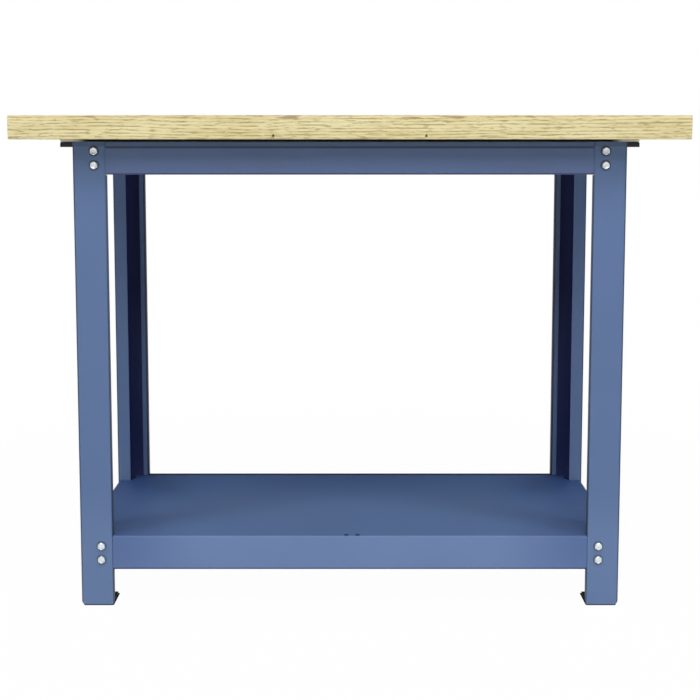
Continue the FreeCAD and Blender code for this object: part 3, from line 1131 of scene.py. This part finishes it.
@dataclass
class PackingStrips:
    """Rubber strips between the frame and the board, with a groove along each long side."""

    rubber: Material
    rounding: float = 0.6 * MM
    groove: float = 0.5 * MM

    def build(self) -> None:
        """Models each strip in place of the plain one."""
        for place in ("front", "rear", "left", "right"):
            node = "packing_strip_" + place
            low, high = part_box(node)
            strip = add_block("packing_" + place, low, high)
            across = BACK if high.x - low.x > high.y - low.y else RIGHT
            select_faces(strip, lambda normal: abs(normal.dot(across)) > 0.9)
            bpy.ops.mesh.inset(thickness=(high.z - low.z) * 0.3, depth=0.0)
            bpy.ops.mesh.inset(thickness=0.3 * MM, depth=-self.groove)
            close_edit()
            soften(strip, self.rounding, 3, 40.0)
            put(strip, Slot.RUBBER, self.rubber, node)


@dataclass
class EndPacking:
    """Wooden packing on each bearer, outside the rubber strip, bored clear of the bearer's bolts."""

    wood: Material
    gap: float = 0.5 * MM
    bore: float = 13.0 * MM
    rounding: float = 0.4 * MM

    def build(self) -> None:
        """Models a packing over each end's bearer."""
        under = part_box("worktop")[0].z
        for place in ("left", "right"):
            low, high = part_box("top_bearer_" + place)
            rubber_low, rubber_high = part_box("packing_strip_" + place)
            low.z, high.z = high.z, under
            if place == "left":
                high.x = rubber_low.x - self.gap
            else:
                low.x = rubber_high.x + self.gap
            strip = add_block("end_packing_" + place, low, high)
            reach = 2 * (high.z - low.z)
            carve(strip, *upright_drills("bearer_bolts", 32, self.bore, low.z - reach, low.z + reach))
            soften(strip, self.rounding)
            put(strip, Slot.WOOD, self.wood)


# ----------------------------------------------------------------- sheet metal
@dataclass
class SheetMetal:
    """Folded steel pieces, which keep their own meshes and get their paint."""

    blue: Material
    shelf_blue: Material
    black: Material

    def build(self) -> None:
        """Paints each folded piece."""
        for name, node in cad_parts.items():
            if name in ("shelf_tray", "shelf_stiffener"):
                dress(node, self.shelf_blue)
            elif name.startswith(("leg_", "top_rail", "side_rail")):
                dress(node, self.blue)
            elif name.startswith("top_bearer"):
                dress(node, self.black)


# ---------------------------------------------------------------------- studio
@dataclass(frozen=True)
class Panel:
    """A far, soft light panel that points at the table's middle; its angles are in degrees."""

    name: str
    turn: float
    rise: float
    half_width: float
    half_height: float
    radiance: float
    distance: float = 12.0
    aim: Triple = (0.0, 0.0, 0.45)

    def build(self) -> None:
        """Adds the light; its power follows from its radiance and its area."""
        turn, rise = math.radians(self.turn), math.radians(self.rise)
        data = bpy.data.lights.new(self.name, "AREA")
        data.shape = "RECTANGLE"
        data.size = 2 * self.distance * math.cos(rise) * math.tan(math.radians(self.half_width))
        data.size_y = 2 * self.distance * math.tan(math.radians(self.half_height))
        data.energy = self.radiance * math.pi * data.size * data.size_y
        outward = Vector((math.cos(rise) * math.sin(turn), -math.cos(rise) * math.cos(turn), math.sin(rise)))
        light = link(bpy.data.objects.new(self.name, data))
        light.location = Vector(self.aim) + outward * self.distance
        light.rotation_euler = (-outward).to_track_quat("-Z", "Y").to_euler()


@dataclass
class Studio:
    """White floor and background, soft lights and the camera."""

    lens: float = 84.106
    eye: Triple = (0.0, -3.2396, 0.8564)
    tilt: float = 82.692
    shift: tuple[float, float] = (0.0002, 0.0)
    ambient: float = 0.06
    glow_height: tuple[float, float] = (0.02, 0.12)
    floor_half: float = 30.0
    floor_colour: float = 0.88
    floor_glow: float = 0.98
    shadow_reach: tuple[float, float] = (1.2, 3.0)
    panels: tuple[Panel, ...] = (
        Panel("low_panel", 0.0, 32.5, 15.0, 7.5, 7.0),
        Panel("high_panel", 0.0, 47.5, 35.0, 7.5, 2.7),
        Panel("left_panel", -47.5, 47.5, 12.5, 7.5, 8.0),
        Panel("right_panel", 47.5, 47.5, 12.5, 7.5, 8.0),
        Panel("rear_left_panel", -140.0, 35.0, 15.0, 7.5, 3.2),
        Panel("rear_right_panel", 140.0, 35.0, 15.0, 7.5, 3.2),
    )

    def build(self) -> None:
        """Sets the camera, the floor, the lights and the world."""
        self.make_camera()
        self.make_floor()
        self.make_world()
        for panel in self.panels:
            panel.build()

    def make_camera(self) -> None:
        """Adds the camera at the viewing angle."""
        data = bpy.data.cameras.new("camera")
        data.lens = self.lens
        data.sensor_width = 36.0
        data.shift_x, data.shift_y = self.shift
        data.clip_end = 200.0
        camera = link(bpy.data.objects.new("camera", data))
        camera.location = self.eye
        camera.rotation_euler = (math.radians(self.tilt), 0.0, 0.0)
        bpy.context.scene.camera = camera

    def make_floor(self) -> None:
        """Adds a wide floor that looks white and keeps a faint shadow under the table."""
        deselect()
        bpy.ops.mesh.primitive_plane_add(size=self.floor_half * 2)
        floor = named("studio_floor")
        graph = Graph("studio_white")
        graph.finish(Base_Color=(self.floor_colour,) * 3, Roughness=0.9, Specular_IOR_Level=0.0)
        away = graph.distance(graph.place, (0.0, 0.0, 0.0))
        share = graph.range(away, *self.shadow_reach, self.floor_glow, 1.0)
        seen = graph.math("MULTIPLY", graph.math("MAXIMUM", *self.looks(graph)), share)
        glow = graph.add("Emission").outputs[0]
        blend = graph.add("MixShader", seen, graph.shader.outputs["BSDF"], glow)
        graph.fill(graph.output, Surface=blend.outputs[0])
        dress(floor, graph.material)

    def looks(self, graph: Nodes) -> tuple[Socket, Socket]:
        """How a light path arrives.

        Args:
            graph: the nodes that ask.

        Returns:
            One where the camera looks directly, and one where a mirror or glass does.
        """
        path = graph.add("LightPath").outputs
        mirror = graph.math("MAXIMUM", path["Is Glossy Ray"], path["Is Transmission Ray"])
        return path["Is Camera Ray"], mirror

    def make_world(self) -> None:
        """Makes a white background over dim, even light; mirrors see the white up to a low height."""
        world = bpy.data.worlds.new("studio_world")
        world.use_nodes = True
        graph = Nodes(world.node_tree)
        height = graph.split(graph.add("TexCoord").outputs["Generated"])[2]
        low = graph.range(height, *self.glow_height, 1.0, 0.0)
        camera, mirror = self.looks(graph)
        white = graph.math("MAXIMUM", camera, graph.math("MULTIPLY", mirror, low))
        strength = graph.math("MULTIPLY_ADD", white, 1.0 - self.ambient, self.ambient)
        sky = graph.add("Background", (1.0, 1.0, 1.0), strength)
        graph.add("OutputWorld", sky.outputs[0])
        bpy.context.scene.world = world


# ---------------------------------------------------------------------- shades
SHEET = 2.0 * MM
FINE = 0.5 * MM
BROAD = 0.8 * MM


def frame_shades() -> tuple[Shade | Ring, ...]:
    """Where painted shade and painted light darken or lighten the frame's coat.

    Returns:
        The painted light on the lower part, the painted shade inside the legs, in the corner under a top
        rail's lap and on the shaded top, the painted light on the rail below its lap, and the painted shade
        along the edges and round the bolts.
    """
    hem, lap, corner, line, rear_strip = 12.0 * MM, 8.5 * MM, 3.5 * MM, 2.6 * MM, 22.0 * MM
    pale_height, pale_soft = 0.11, 0.12
    leg_low, leg_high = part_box("leg_rear_right")
    rail_low, rail_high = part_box("top_rail_rear")
    skin = leg_high.y - 1.5 * SHEET
    below_lap = rail_high.z - lap
    outer = tuple(leg_high)
    shades: list[Shade | Ring] = [
        # painted light: the legs are paler near the floor
        Shade((1.24, 1.18, 1.10), (0.0, 0.0, 0.0), (leg_high.x, leg_high.y, pale_height), pale_soft),
        # painted shade: the inside of the legs is near black
        Shade((0.05, 0.10, 0.40), (leg_low.x + hem + SHEET / 2, leg_low.y + SHEET / 2, 0.0),
              (leg_high.x - SHEET / 2, leg_high.y - SHEET / 2, leg_high.z)),
        # painted shadow in the corner under each top rail's lap
        Shade((0.30, 0.30, 0.30), (0.0, rail_high.y - 1.5 * SHEET, below_lap - corner),
              (leg_low.x, rail_high.y - 0.2 * MM, below_lap)),
        # painted shade under the worktop's edge, over the laps and the legs' tops
        Shade((0.70, 0.68, 0.68), (0.0, skin, below_lap), outer, FINE),
        # painted light on the rails' faces below their laps
        Shade((1.09, 1.00, 1.02), (0.0, skin - SHEET, rail_low.z), (leg_low.x, leg_high.y, below_lap)),
        # painted shade along the legs' inner sides, next to their front and rear faces
        Shade((0.22, 0.24, 0.30), (leg_low.x - SHEET, leg_high.y - rear_strip, 0.0),
              (leg_low.x + 0.8 * MM, leg_high.y, rail_low.z), BROAD),
        # painted shade along the rear legs' inner strips
        Shade((0.22, 0.22, 0.32), (leg_low.x - SHEET, leg_high.y - rear_strip, 0.0),
              (leg_low.x + 3.0 * MM, leg_high.y - 2.0 * SHEET, leg_high.z), BROAD, (True, False)),
        # painted shade along the bends at the legs' lips
        Shade((0.40, 0.42, 0.48), (leg_high.x - line, leg_low.y - SHEET, 0.0),
              (leg_high.x + SHEET, leg_low.y + SHEET, leg_high.z), BROAD),
        # painted shade along the legs' outer corners
        Shade((0.45, 0.50, 0.52), (leg_high.x - line, skin, 0.0),
              (leg_high.x + SHEET, leg_high.y, leg_high.z), BROAD),
        # painted shade along the rails' lower edges
        Shade((0.42, 0.42, 0.50), (0.0, skin - SHEET, rail_low.z - SHEET),
              (leg_low.x, leg_high.y, rail_low.z + line), FINE),
        # painted contact shadow along the bottom of the legs' front and rear faces
        Shade((0.60, 0.62, 0.66), (0.0, skin, 0.0), (leg_high.x, leg_high.y, line), BROAD),
    ]
    # painted shadow rings round the bolt heads
    for node, tone in (("rail_bolts", 0.30), ("shelf_bolts", 0.55), ("side_bolts", 0.4)):
        for low, high in solid_boxes(node):
            x, y, z = (low + high) / 2
            if x >= 0 and y >= 0:
                face = (leg_high.x, y, z) if node == "side_bolts" else (x, leg_high.y, z)
                shades.append(Ring((tone, tone, tone), face))
    return tuple(shades)


def tray_shades() -> tuple[Shade, ...]:
    """Where painted shade and painted light darken or lighten the shelf's coat.

    Returns:
        Painted shade on its two ends, its rear part and rear bend, painted light on its lips, and
        painted shade along their lower edges and in its two small holes.
    """
    line, bend, border = 3.2 * MM, 22.0 * MM, 40.0 * MM
    hole_half, hole_depth, hole_middles = 3.4 * MM, 12.0 * MM, (-6.65 * MM, 14.05 * MM)
    rear_only = (True, False)
    low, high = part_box("shelf_tray")
    outer = tuple(high)
    shades = [
        # painted shade towards the shelf's two ends
        Shade((0.66, 0.71, 0.81), (high.x - border, 0.0, high.z - SHEET), outer, 0.20),
        # painted shade towards the shelf's rear
        Shade((0.60, 0.74, 0.88), (0.0, high.y - border, high.z - SHEET), outer, 0.34, rear_only),
        # painted shade along the shelf's rear bend
        Shade((0.30, 0.26, 0.38), (0.0, high.y - bend, high.z - 2.0 * SHEET), outer, SHEET, rear_only),
        # painted light on the shelf's front and rear lips
        Shade((1.60, 1.40, 1.23), (0.0, high.y - 1.5 * SHEET, low.z),
              (high.x, high.y, high.z - 1.2 * SHEET), SHEET),
        # painted shade along the lips' lower edges
        Shade((0.34, 0.34, 0.45), (0.0, high.y - 2.0 * SHEET, low.z), (high.x, high.y, low.z + line), FINE),
    ]
    # painted shade in and round the two small holes
    for middle in hole_middles:
        shades.append(Shade((0.30, 0.36, 0.50), (middle - hole_half, low.y + SHEET, high.z - SHEET),
                            (middle + hole_half, low.y + hole_depth, high.z), 1.5 * MM, (False, False)))
    return tuple(shades)


def main() -> None:
    """Builds the table's looks, piece by piece."""
    logging.basicConfig(level=logging.INFO, format="%(name)s: %(message)s")
    low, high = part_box("worktop")
    wood = OiledWood((high.y - low.y) / STAVES, high.y, (low.z + high.z) / 2, high.z)
    blue = PowderCoat("blue_satin_coat", (0.099, 0.170, 0.350), gloss=0.6, shades=frame_shades())
    # the shelf's blue is the frame's blue made a touch paler and bluer, as painted light
    shelf_blue = PowderCoat("shelf_blue_satin_coat", (0.099, 0.174, 0.370), roughness=0.50, gloss=0.25,
                            shades=tray_shades())
    black = PowderCoat("black_satin_coat", (0.016, 0.017, 0.021), cloud=0.15)
    zinc = Surface("bright_zinc", (0.72, 0.77, 0.80), (0.88, 0.93, 0.96), (0.46, 0.33), 2600.0, 0.2,
                   0.02 * MM, clouds=(160.0, 4.0, 0.6), light_from=0.65, gloss=0.5, metallic=1.0)
    plastic = Surface("black_moulding", (0.004, 0.004, 0.005), (0.008, 0.008, 0.009), (0.55, 0.65),
                      1800.0, 0.4, 0.03 * MM)
    rubber = Surface("black_rubber_strip", (0.006, 0.006, 0.006), (0.012, 0.012, 0.012), (0.75, 0.85),
                     900.0, 0.4, 0.05 * MM)
    pale = Surface("pale_packing_wood", (0.86, 0.82, 0.68), (0.93, 0.89, 0.77), (0.65, 0.75),
                   900.0, 0.4, 0.05 * MM)
    Worktop(wood.material()).build()
    SheetMetal(blue.material(), shelf_blue.material(), black.material()).build()
    Fasteners(zinc.material()).build()
    FootPlates(plastic.material()).build()
    PackingStrips(rubber.material()).build()
    EndPacking(pale.material()).build()
    Studio().build()
    scene = bpy.context.scene
    scene.view_settings.view_transform = "Standard"


if __name__ == "__main__":
    main()
